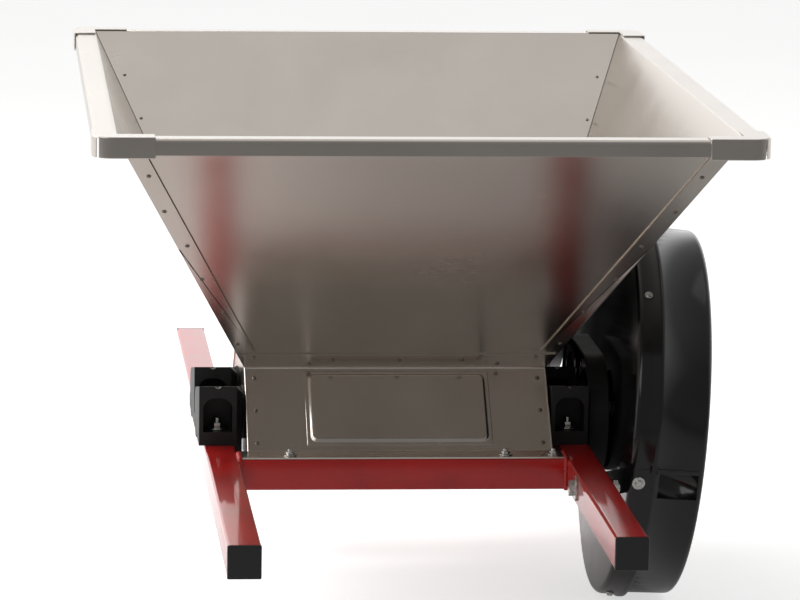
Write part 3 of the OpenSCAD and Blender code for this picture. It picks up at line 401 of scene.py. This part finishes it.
def pressedField(look=pressing):
    (lowX, highX), (lowS, highS) = fieldBox["across"], fieldBox["up"]
    base = fieldBox["top"] - look["depth"] + look["proud"]
    margin, corner = look["margin"], look["corner"]
    across = int((highX - lowX + 2 * margin) / look["step"])
    along = int((highS - lowS + 2 * margin) / look["step"])
    form = bmesh.new()
    grid = []
    for i in range(across + 1):
        x = lowX - margin + (highX - lowX + 2 * margin) * i / across
        dx = abs(x - (lowX + highX) / 2) - (highX - lowX) / 2 + corner
        column = []
        for j in range(along + 1):
            s = lowS - margin + (highS - lowS + 2 * margin) * j / along
            ds = abs(s - (lowS + highS) / 2) - (highS - lowS) / 2 + corner
            # how far the point lies outside the field's rounded outline, and its share of the wall's height
            outside = math.hypot(max(dx, 0), max(ds, 0)) + min(max(dx, ds), 0) - corner
            share = min(max(0.5 - outside / look["wall"], 0), 1)
            lift = base + look["depth"] * (1 - (1 - share) ** look["shoulder"])
            column.append(form.verts.new((foot + upFront * s + outFront * lift + Vector((x, 0, 0))) * mm))
        grid.append(column)
    for one, other in zip(grid, grid[1:]):
        for k in range(along):
            form.faces.new((one[k], other[k], other[k + 1], one[k + 1]))
    bmesh.ops.recalc_face_normals(form, faces=form.faces)
    form.normal_update()
    if sum((face.normal for face in form.faces), Vector()).dot(outFront) < 0:
        bmesh.ops.reverse_faces(form, faces=form.faces)
    mesh = meshFrom(form, "pressedField", look["sharpFrom"])
    wall = ("SOLIDIFY", {"thickness": look["thickness"] * mm, "offset": -1})
    newPiece("pressedField", settled(mesh, [wall]), "box_front_panel")


for name, width in edges.items():
    finishedCopy(name, width, flattenField if name == "box_front_panel" else None)
print("edges", len(edges))

# The guard's halves keep their moulded form, shaded smooth
guardShells = {"names": ("guard_upper_shell", "guard_lower_shell"), "sharpFrom": 30}
for name in guardShells["names"]:
    standIn(name, meshFrom(mergedCopy(name), camel(name), guardShells["sharpFrom"]))
print("guard")

# Square tubes with drawn corners, in mm
squareTube = {"side": 30, "wall": 2, "corner": 2.6, "steps": 4, "sharpFrom": 40}
runners = ("left_runner", "right_runner")
crossTubes = ("front_cross_tube", "rear_cross_tube", "motor_cross_tube")


def roundedSquare(side, corner, steps):
    points = []
    for quarter in range(4):
        centre = Vector((side / 2 - corner, side / 2 - corner))
        for step in range(steps + 1):
            angle = math.radians(90 * step / steps)
            point = centre + corner * Vector((math.cos(angle), math.sin(angle)))
            points.append(Matrix.Rotation(math.radians(90 * quarter), 2) @ point)
    return points


def tubePiece(name, look=squareTube):
    low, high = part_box(name)
    size = high - low
    length, width = (0, 1) if size.x > size.y else (1, 0)  # the axes along and across the tube
    outer = roundedSquare(look["side"], look["corner"], look["steps"])
    inner = roundedSquare(look["side"] - 2 * look["wall"], look["corner"] - look["wall"], look["steps"])
    form = bmesh.new()
    rings = []
    for ring, end in ((outer, -1), (outer, 1), (inner, 1), (inner, -1)):
        corners = []
        for p in ring:
            place = Vector((0, 0, p.y * mm))
            place[length], place[width] = end * size[length] / 2, p.x * mm
            corners.append(form.verts.new(place))
        rings.append(corners)
    for one, other in zip(rings, rings[1:] + rings[:1]):
        for i in range(len(one)):
            j = (i + 1) % len(one)
            form.faces.new((one[i], one[j], other[j], other[i]))
    bmesh.ops.translate(form, verts=form.verts, vec=(low + high) / 2)
    bmesh.ops.recalc_face_normals(form, faces=form.faces)
    standIn(name, meshFrom(form, camel(name), look["sharpFrom"]))


for name in runners + crossTubes:
    tubePiece(name)
print("tubes")


# Geometry Nodes for heads, nuts, weld beads and swept lines
def newTree(name, inputs):
    tree = bpy.data.node_groups.new(name, "GeometryNodeTree")
    tree.interface.new_socket("Geometry", in_out="INPUT", socket_type="NodeSocketGeometry")
    tree.interface.new_socket("Geometry", in_out="OUTPUT", socket_type="NodeSocketGeometry")
    for label, kind in inputs.items():
        tree.interface.new_socket(label, in_out="INPUT", socket_type="NodeSocket" + kind)
    return tree, node(tree, "NodeGroupInput")


def endTree(tree, start, last, rounded=True):
    real = node(tree, "GeometryNodeRealizeInstances", None, {"Geometry": last})
    smooth = node(tree, "GeometryNodeSetShadeSmooth", None, {0: (real, 0), "Shade Smooth": rounded})
    dressed = node(tree, "GeometryNodeSetMaterial", None,
                   {"Geometry": (smooth, 0), "Material": (start, "Material")})
    node(tree, "NodeGroupOutput", None, {0: (dressed, 0)})


def grow(tree, mesh, values):
    sockets = {item.name: item.identifier for item in tree.interface.items_tree
               if item.item_type == "SOCKET" and item.in_out == "INPUT"}
    given = {sockets[label]: value for label, value in values.items()}
    return settled(mesh, [("NODES", dict({"node_group": tree}, **given))])


def pointMesh(name, points, links=(), facing=None):
    mesh = bpy.data.meshes.new(name)
    mesh.from_pydata([tuple(p) for p in points], list(links), [])
    if facing:
        made = mesh.attributes.new("facing", "FLOAT_VECTOR", "POINT")
        made.data.foreach_set("vector", [c for f in facing for c in f])
    return mesh


# Domed rivet heads outside the sheets and flatter ones inside the hopper, in mm. Each is a flattened ball
# whose middle is sunk below the CAD head's, and the inner ones lie past both sheets with a little to spare
rivets = {"diameter": 4.4, "height": 1.3, "sheet": 1.5, "innerDiameter": 3.6, "innerHeight": 0.9,
          "sunk": 0.45, "spare": 0.1, "segments": 20, "rings": 10}


def makeHeadTree(look=rivets):
    tree, start = newTree("roundHeads", {"Diameter": "Float", "Height": "Float", "Material": "Material"})
    ball = node(tree, "GeometryNodeMeshUVSphere", None,
                {"Segments": look["segments"], "Rings": look["rings"], "Radius": 0.5})
    double = node(tree, "ShaderNodeMath", {"operation": "MULTIPLY"}, {0: (start, "Height"), 1: 2.0})
    size = node(tree, "ShaderNodeCombineXYZ", None,
                {"X": (start, "Diameter"), "Y": (start, "Diameter"), "Z": (double, 0)})
    head = node(tree, "GeometryNodeTransform", None, {"Geometry": (ball, "Mesh"), "Scale": (size, 0)})
    facing = node(tree, "GeometryNodeInputNamedAttribute", {"data_type": "FLOAT_VECTOR"}, {"Name": "facing"})
    turn = node(tree, "FunctionNodeAlignRotationToVector", {"axis": "Z"}, {"Vector": (facing, "Attribute")})
    placed = node(tree, "GeometryNodeInstanceOnPoints", None,
                  {"Points": (start, "Geometry"), "Instance": (head, 0), "Rotation": (turn, 0)})
    endTree(tree, start, (placed, 0))
    return tree


def separateForms(name):
    # lowest corner, highest corner and points of each separate solid in a CAD node
    form = mergedCopy(name)
    seen, found = set(), []
    for first in form.verts:
        if first in seen:
            continue
        seen.add(first)
        group, queue = [], [first]
        while queue:
            vert = queue.pop()
            group.append(vert.co.copy())
            for edge in vert.link_edges:
                other = edge.other_vert(vert)
                if other not in seen:
                    seen.add(other)
                    queue.append(other)
        low = Vector(min(p[i] for p in group) for i in range(3))
        high = Vector(max(p[i] for p in group) for i in range(3))
        found.append((low, high, group))
    form.free()
    return sorted(found, key=lambda one: tuple(round(c, 5) for c in one[0]))


def thinAxis(centre, points):
    # square to a flat round form: the cross products of its points, turned to one side and added up
    crosses = [(p - centre).cross(q - centre) for p in points for q in points]
    widest = max(crosses, key=lambda cross: cross.length)
    return sum((cross if cross.dot(widest) > 0 else -cross for cross in crosses), Vector()).normalized()


def headPlaces(name):
    # centre and axis of each flat round head, pointing away from the object's middle
    result = []
    for low, high, group in separateForms(name):
        centre = (low + high) / 2
        normal = thinAxis(centre, group)
        if normal.dot(Vector((centre.x, centre.y, 0))) < 0:
            normal = -normal
        result.append((centre, normal))
    return result


headTree = makeHeadTree()


def headMesh(places, facing, diameter, height):
    return grow(headTree, pointMesh("points", places, (), facing),
                {"Diameter": diameter * mm, "Height": height * mm, "Material": rivetSteel})


def rivetPieces(name, alsoInside, look=rivets):
    heads = headPlaces(name)
    base = [centre - normal * look["sunk"] * mm for centre, normal in heads]
    outward = [normal for _, normal in heads]
    standIn(name, headMesh(base, outward, look["diameter"], look["height"]))
    if alsoInside:
        deep = (2 * look["sheet"] + look["spare"]) * mm
        within = [point - normal * deep for point, normal in zip(base, outward)]
        inner = headMesh(within, [-normal for normal in outward], look["innerDiameter"], look["innerHeight"])
        newPiece(camel(name) + "Inside", inner, name)


rivetPieces("hopper_rivets", True)
rivetPieces("box_rivets", False)
print("rivets")

# Plated nuts on flat washers with the thread standing above them, in mm; round sizes are radii
studNuts = {"washer": 8.5, "washerHigh": 1.6, "nut": 5.8, "nutHigh": 5.0, "thread": 2.9, "above": 4.6,
            "below": 22, "base": 43.0, "lap": 0.1, "washerSides": 40, "nutSides": 6, "threadSides": 24,
            "bevel": 0.45, "sharpFrom": 38}
flangeNuts = dict(studNuts, washer=6.2, washerHigh=1.2, nut=4.3, nutHigh=2.6, thread=2.4, above=2.4, below=14,
                  base=31.5)


def makeNutTree(look):
    tree, start = newTree("nutOnWasher", {"Washer": "Float", "Nut": "Float", "Thread": "Float",
                                          "Material": "Material"})

    def drum(sides, radius, low, high):
        made = node(tree, "GeometryNodeMeshCylinder", None,
                    {"Vertices": sides, "Radius": (start, radius), "Depth": (high - low) * mm})
        return node(tree, "GeometryNodeTransform", None,
                    {"Geometry": (made, "Mesh"), "Translation": (0, 0, (high + low) / 2 * mm)})

    top = look["washerHigh"] + look["nutHigh"]
    parts = [drum(look["washerSides"], "Washer", 0, look["washerHigh"]),
             drum(look["nutSides"], "Nut", look["washerHigh"] - look["lap"], top),
             drum(look["threadSides"], "Thread", -look["below"], top + look["above"])]
    joined = node(tree, "GeometryNodeJoinGeometry")
    for part in parts:
        tree.links.new(part.outputs[0], joined.inputs[0])
    placed = node(tree, "GeometryNodeInstanceOnPoints", None,
                  {"Points": (start, "Geometry"), "Instance": (joined, 0)})
    endTree(tree, start, (placed, 0), False)
    return tree


def nutPiece(name, look):
    places = [((low.x + high.x) / 2, (low.y + high.y) / 2, look["base"] * mm)
              for low, high, _ in separateForms(name)]
    mesh = grow(makeNutTree(look), pointMesh("nuts", places),
                {"Washer": look["washer"] * mm, "Nut": look["nut"] * mm, "Thread": look["thread"] * mm,
                 "Material": materials["bright_steel"]})
    standIn(name, smoothed(settled(mesh, [bevel(look["bevel"])]), look["sharpFrom"]))


nutPiece("housing_studs", studNuts)
nutPiece("box_bolts", flangeNuts)
print("nuts")

# Weld beads in a closed run round each end of each cross tube, where it meets the runner, in mm
welds = {"width": 5.0, "pitch": 1.9, "least": 0.8, "most": 1.15, "seed": 7, "inset": 0.8, "side": 30.4,
         "corner": 3, "steps": 3, "lift": 1.5}


def makeBeadTree(look=welds):
    tree, start = newTree("weldBeads", {"Width": "Float", "Pitch": "Float", "Material": "Material"})
    path = node(tree, "GeometryNodeMeshToCurve", None, {"Mesh": (start, "Geometry")})
    even = node(tree, "GeometryNodeResampleCurve", {"mode": "LENGTH"},
                {"Curve": (path, 0), "Length": (start, "Pitch")})
    ball = node(tree, "GeometryNodeMeshIcoSphere", None, {"Radius": 0.5, "Subdivisions": 2})
    along = node(tree, "GeometryNodeInputTangent")
    turn = node(tree, "FunctionNodeAlignRotationToVector", {"axis": "X"}, {"Vector": (along, 0)})
    vary = node(tree, "FunctionNodeRandomValue", {"data_type": "FLOAT"},
                {2: look["least"], 3: look["most"], "Seed": look["seed"]})
    size = node(tree, "ShaderNodeMath", {"operation": "MULTIPLY"}, {0: (start, "Width"), 1: (vary, 1)})
    placed = node(tree, "GeometryNodeInstanceOnPoints", None,
                  {"Points": (even, 0), "Instance": (ball, 0), "Rotation": (turn, 0), "Scale": (size, 0)})
    endTree(tree, start, (placed, 0))
    return tree


def weldPiece(look=welds):
    points, links = [], []
    for name in crossTubes:
        low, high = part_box(name)
        centre = (low + high) / 2
        for x in (low.x + look["inset"] * mm, high.x - look["inset"] * mm):
            ring = [centre + Vector((0, p.x * mm, p.y * mm))
                    for p in roundedSquare(look["side"], look["corner"], look["steps"])]
            first = len(points)
            points += [Vector((x, p.y, max(p.z, low.z + look["lift"] * mm))) for p in ring]
            links += [(first + i, first + (i + 1) % len(ring)) for i in range(len(ring))]
    mesh = grow(makeBeadTree(), pointMesh("runs", points, links),
                {"Width": look["width"] * mm, "Pitch": look["pitch"] * mm, "Material": redEnamel})
    newPiece("weldBeads", mesh, "left_runner")


weldPiece()
print("welds")

# Round lines swept along runs of points, for painted seam shadows, bent edges and the guard's rib and lip
lineSides = 16


def makeLineTree():
    tree, start = newTree("sweptLine", {"Radius": "Float", "Material": "Material"})
    path = node(tree, "GeometryNodeMeshToCurve", None, {"Mesh": (start, "Geometry")})
    section = node(tree, "GeometryNodeCurvePrimitiveCircle", None,
                   {"Resolution": lineSides, "Radius": (start, "Radius")})
    swept = node(tree, "GeometryNodeCurveToMesh", None,
                 {"Curve": (path, 0), "Profile Curve": (section, 0), "Fill Caps": True})
    endTree(tree, start, (swept, 0))
    return tree


lineTree = makeLineTree()


def linePiece(name, runs, radius, on, material=None, closed=False):
    points, links = [], []
    for run in runs:
        first = len(points)
        points += run
        links += [(first + i, first + i + 1) for i in range(len(run) - 1)]
        if closed:
            links.append((len(points) - 1, first))
    mesh = grow(lineTree, pointMesh(name, points, links),
                {"Radius": radius * mm, "Material": material or materials[slotOf[on]]})
    newPiece(name, mesh, on, material)


def mirroredRuns(ends):
    # the same straight run at the object's four corners, from points (x, y, z) in mm
    return [[Vector((sx * x, sy * y, z)) * mm for x, y, z in ends] for sx in (-1, 1) for sy in (-1, 1)]


# Painted shadow in the hopper's four inner corners: a thin dark grey line from the rim to the fold, standing
# for the shadow gap between the sheets, in mm
seams = {"radius": 0.75, "top": (279, 404, 368.5), "fold": (145.6, 76.6, 101)}
linePiece("cornerSealer", mirroredRuns((seams["top"], seams["fold"])), seams["radius"], "hopper_left_panel",
          seamShadowGrey)
print("seams")

# Rounded rib round the belt guard, and the lip where its two halves meet, in mm and in the guard's own axes,
# which lean outward at the top by lean degrees. Its outline is two arcs, round the large pulley and, at
# tail, round the motor's pulley with a radius less by drop
guardLines = {"at": (211.0, -50.0, 54.0), "lean": 4.0, "tail": (305.0, 51.0), "drop": 122.0,
              "ribAlong": 22.7, "ribRadius": 181.15, "rib": 2.9, "largeSteps": 120, "smallSteps": 36,
              "joint": 23.0, "lip": 0.55}
# The guard's surface from its back to its face: distance along the axis, and radius
guardSide = ((1.0, 176.5), (4.0, 181.0), (17.5, 182.1), (27.5, 179.6), (64.0, 178.1), (69.0, 176.5))


def leaned(x, y, z, look=guardLines):
    turn = Matrix.Rotation(math.radians(look["lean"]), 3, "Y")
    return (turn @ Vector((x, y, z)) + Vector(look["at"])) * mm


def ribRun(look=guardLines):
    back, rise = look["tail"]
    tilt, spread = math.atan2(rise, back), math.acos(look["drop"] / math.hypot(back, rise))
    large, small = look["ribRadius"], look["ribRadius"] - look["drop"]
    run = []
    for i in range(look["largeSteps"] + 1):
        angle = tilt + spread + (2 * math.pi - 2 * spread) * i / look["largeSteps"]
        run.append(leaned(look["ribAlong"], large * math.cos(angle), large * math.sin(angle)))
    for i in range(1, look["smallSteps"]):
        angle = tilt - spread + 2 * spread * i / look["smallSteps"]
        run.append(leaned(look["ribAlong"], back + small * math.cos(angle), rise + small * math.sin(angle)))
    return run


def lipRun(look=guardLines):
    return [leaned(x, -math.sqrt(r * r - look["joint"] ** 2), -look["joint"]) for x, r in guardSide]


linePiece("guardRib", [ribRun()], guardLines["rib"], "guard_upper_shell", closed=True)
linePiece("guardJointLip", [lipRun()], guardLines["lip"], "guard_upper_shell")
print("guard lines")

pressedField()

# Bent edges of the box's front and rear sheets, where they turn back over the sides, in mm
boxEdges = {"x": 145.2, "radius": 1.3, "raise": 1}
ends = [(boxEdges["x"], abs(y), z + boxEdges["raise"]) for y, z in (pressing["foot"], pressing["fold"])]
linePiece("boxBentEdges", mirroredRuns(ends), boxEdges["radius"], "box_front_panel")
print("box details")

for name, obj in frame["nodes"].items():
    for slot in obj.material_slots:
        slot.material = ownMaterial.get(name) or materials[slotOf[name]]
print("CAD materials")

# Floor and world. The floor's sheet tone is painted shade: grey in front and bright behind, seen by every ray
# but the camera's. Its glow is a painted window light on its back part, seen only in reflections. Both run
# along its depth from front to back, whose ends are in metres. The world's strengths go from the horizon up,
# where 1 is plain white
studio = {"floorSize": 30, "floorGap": 0.5, "floorLift": 0.62, "floorTones": ("#e8e8e7", "#ececeb"),
          "depth": (-2.0, 1.0), "sheet": ((0.0, 0.42), (0.55, 0.8), (1.0, 0.85)),
          "behind": ((0.5, 0.0), (0.6, 0.1), (0.95, 0.58)), "horizon": 1.28, "horizonUpTo": 0.28,
          "middle": 0.5, "middleAt": 0.5, "zenith": 0.34, "front": 0.24, "frontToBack": (-0.25, 0.35),
          "heightShare": 0.8, "ambient": 0.75}


def makeFloor(look=studio):
    # the camera sees a white sheet; every other ray sees painted shade on it, grey in front and bright
    # behind, and metal also sees a painted window glow on its back part
    half = look["floorSize"] / 2
    z = boxAtStart[0].z - look["floorGap"] * mm
    mesh = bpy.data.meshes.new("floor")
    mesh.from_pydata([(x, y, z) for x, y in ((-half, -half), (half, -half), (half, half), (-half, half))],
                     [], [(0, 1, 2, 3)])
    floor = bpy.data.objects.new("floor", mesh)
    bpy.context.scene.collection.objects.link(floor)
    mat, tree, coords = newMaterial("paleFloor")
    path = node(tree, "ShaderNodeLightPath")
    split = node(tree, "ShaderNodeSeparateXYZ", None, {"Vector": (coords, "Object")})
    depth = node(tree, "ShaderNodeMapRange", None,
                 {"Value": (split, "Y"), "From Min": look["depth"][0], "From Max": look["depth"][1]})
    # painted shade: the floor's tone for every ray but the camera's, darker towards the front
    sheet = node(tree, "ShaderNodeValToRGB", None, {"Fac": (depth, 0)}, look["sheet"])
    grain = node(tree, "ShaderNodeTexNoise", None,
                 {"Vector": (coords, "Object"), "Scale": 3, "Detail": 3, "Roughness": 0.55})
    pale = node(tree, "ShaderNodeValToRGB", None, {"Fac": (grain, 0)},
                [(0.3, look["floorTones"][0]), (0.7, look["floorTones"][1])])
    seen = node(tree, "ShaderNodeMix", {"data_type": "RGBA"},
                {0: (path, "Is Camera Ray"), 6: (sheet, 0), 7: (pale, 0)})
    diffuse = node(tree, "ShaderNodeBsdfDiffuse", None, {"Color": (seen, 2)})
    lift = node(tree, "ShaderNodeMath", {"operation": "MULTIPLY"},
                {0: (path, "Is Camera Ray"), 1: look["floorLift"]})
    # painted light: a glow on the floor's back part that only glossy rays see, standing in for a window
    # behind the object
    behind = node(tree, "ShaderNodeValToRGB", None, {"Fac": (depth, 0)}, look["behind"])
    mirrored = node(tree, "ShaderNodeMath", {"operation": "MULTIPLY"},
                    {0: (path, "Is Glossy Ray"), 1: (behind, 0)})
    total = node(tree, "ShaderNodeMath", {"operation": "ADD"}, {0: (lift, 0), 1: (mirrored, 0)})
    glow = node(tree, "ShaderNodeEmission", None, {"Color": (1, 1, 1, 1), "Strength": (total, 0)})
    both = node(tree, "ShaderNodeAddShader", None, {0: (diffuse, 0), 1: (glow, 0)})
    finishWith(tree, both)
    mesh.materials.append(mat)


def makeWorld(look=studio):
    # a room with its windows behind the object: bright low down there, soft overhead, dim in front.
    # Strengths are halved here and doubled again by fill, so that the ramp's tones stay below 1
    world = bpy.data.worlds.new("studio")
    bpy.context.scene.world = world
    world.use_nodes = True
    tree = world.node_tree
    tree.nodes.clear()
    coords = node(tree, "ShaderNodeTexCoord")
    split = node(tree, "ShaderNodeSeparateXYZ", None, {"Vector": (coords, "Generated")})
    glow = node(tree, "ShaderNodeValToRGB", None, {"Fac": (split, "Z")},
                [(0.0, look["horizon"] / 2), (look["horizonUpTo"], look["horizon"] / 2),
                 (look["middleAt"], look["middle"] / 2), (1.0, look["zenith"] / 2)])
    path = node(tree, "ShaderNodeLightPath")
    lean = node(tree, "ShaderNodeMath", {"operation": "MULTIPLY_ADD"},
                {0: (split, "Z"), 1: look["heightShare"], 2: (split, "Y")})
    back = node(tree, "ShaderNodeMapRange", None,
                {"Value": (lean, 0), "From Min": look["frontToBack"][0],
                 "From Max": look["frontToBack"][1]})
    room = node(tree, "ShaderNodeMix", {"data_type": "FLOAT"},
                {0: (back, 0), 2: look["front"] / 2, 3: (glow, 0)})
    fill = node(tree, "ShaderNodeMapRange", None,
                {"Value": (path, "Is Diffuse Ray"), "To Min": 2.0, "To Max": 2.0 * look["ambient"]})
    soft = node(tree, "ShaderNodeMath", {"operation": "MULTIPLY"}, {0: (room, 0), 1: (fill, 0)})
    white = node(tree, "ShaderNodeMix", {"data_type": "FLOAT"},
                 {0: (path, "Is Camera Ray"), 2: (soft, 0), 3: 1.0})
    background = node(tree, "ShaderNodeBackground", None, {"Color": (1, 1, 1, 1), "Strength": (white, 0)})
    node(tree, "ShaderNodeOutputWorld", None, {"Surface": (background, 0)})


# Lamps, in metres and watts
lamps = {
    "overhead": {"place": (0.2, 0.2, 2.6), "aim": (0, 0, 0.2), "size": (2.4, 2.4), "power": 8},
    "frontLeft": {"place": (-2.2, -1.8, 2.2), "aim": (0, 0, 0.1), "size": (2.2, 2.2), "power": 26},
    "windowLeft": {"place": (-2.6, 0.8, 1.6), "aim": (0, 0, 0), "size": (2.0, 1.5), "power": 45},
    "windowBack": {"place": (-0.8, 1.7, 1.8), "aim": (0.1, 0, 0.2), "size": (1.4, 0.5), "power": 16},
}


def makeLamp(name, look):
    data = bpy.data.lights.new(name, "AREA")
    data.shape, data.energy = "RECTANGLE", look["power"]
    data.size, data.size_y = look["size"]
    lamp = bpy.data.objects.new(name, data)
    lamp.location = look["place"]
    ray = Vector(look["aim"]) - Vector(look["place"])
    lamp.rotation_euler = ray.to_track_quat("-Z", "Y").to_euler()
    bpy.context.scene.collection.objects.link(lamp)


makeFloor()
makeWorld()
for name, look in lamps.items():
    makeLamp(name, look)
bpy.context.scene.view_settings.view_transform = "Standard"
print("studio")
